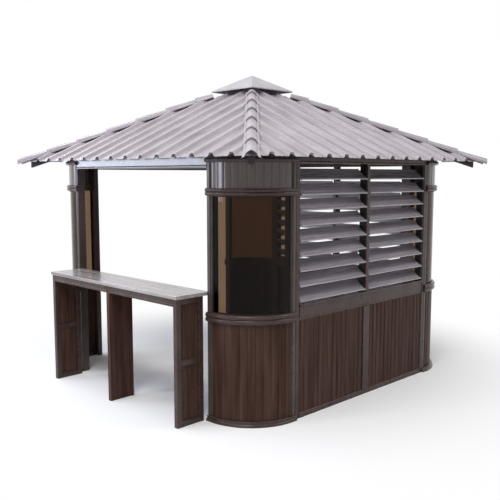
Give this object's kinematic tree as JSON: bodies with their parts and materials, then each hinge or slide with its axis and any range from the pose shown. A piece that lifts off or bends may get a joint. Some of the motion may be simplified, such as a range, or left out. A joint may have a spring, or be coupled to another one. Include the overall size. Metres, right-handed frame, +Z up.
{
  "type": "hot tub gazebo",
  "caption": "Square hot tub gazebo with rounded tinted-glass corners, louvred windows, an open entry, a bar counter and a ribbed hipped roof.",
  "frame": {"origin": "on the ground, under the middle of the whole outline in plan", "axes": "+Z up, -Y is the louvred front wall, -X is the bar side, +Y is the open entry, +X is the second louvred wall"},
  "size_m": [3.5086, 3.475, 2.9779],
  "materials": {
    "post_metal": "satin dark bronze coating",
    "band_metal": "satin dark bronze coating",
    "slat_metal": "satin brown coating with a faint grain",
    "tinted_glass": "clear bronze tint",
    "louvre_metal": "gloss mauve grey coating",
    "roof_sheet": "gloss mauve grey coating",
    "cap_metal": "satin pale grey coating",
    "counter_board": "lightly polished composite plank"
  },
  "bodies": {
    "root": {"front_left_posts": "post_metal", "front_left_bands": "band_metal", "front_left_lower_panel": "slat_metal", "front_left_glass": "tinted_glass", "front_left_upper_panel": "slat_metal", "front_right_posts": "post_metal", "front_right_bands": "band_metal", "front_right_lower_panel": "slat_metal", "front_right_glass": "tinted_glass", "front_right_upper_panel": "slat_metal", "back_right_posts": "post_metal", "back_right_bands": "band_metal", "back_right_lower_panel": "slat_metal", "back_right_glass": "tinted_glass", "back_right_upper_panel": "slat_metal", "back_left_posts": "post_metal", "back_left_bands": "band_metal", "back_left_lower_panel": "slat_metal", "back_left_glass": "tinted_glass", "back_left_upper_panel": "slat_metal", "front_wall_posts": "post_metal", "front_wall_rails": "band_metal", "front_wall_panels": "slat_metal", "front_wall_louvres_left": "louvre_metal", "front_wall_louvres_right": "louvre_metal", "right_wall_posts": "post_metal", "right_wall_rails": "band_metal", "right_wall_panels": "slat_metal", "right_wall_louvres_left": "louvre_metal", "right_wall_louvres_right": "louvre_metal", "bar_header": "post_metal", "entry_header": "post_metal", "bar_top": "counter_board", "bar_apron": "band_metal", "bar_front_end": "slat_metal", "bar_middle_support": "slat_metal", "bar_back_end": "slat_metal", "roof_front": "roof_sheet", "roof_right": "roof_sheet", "roof_back": "roof_sheet", "roof_left": "roof_sheet", "hip_caps": "roof_sheet", "hip_rafters": "band_metal", "apex_boss": "band_metal", "roof_cap": "cap_metal"}
  },
  "joints": []
}
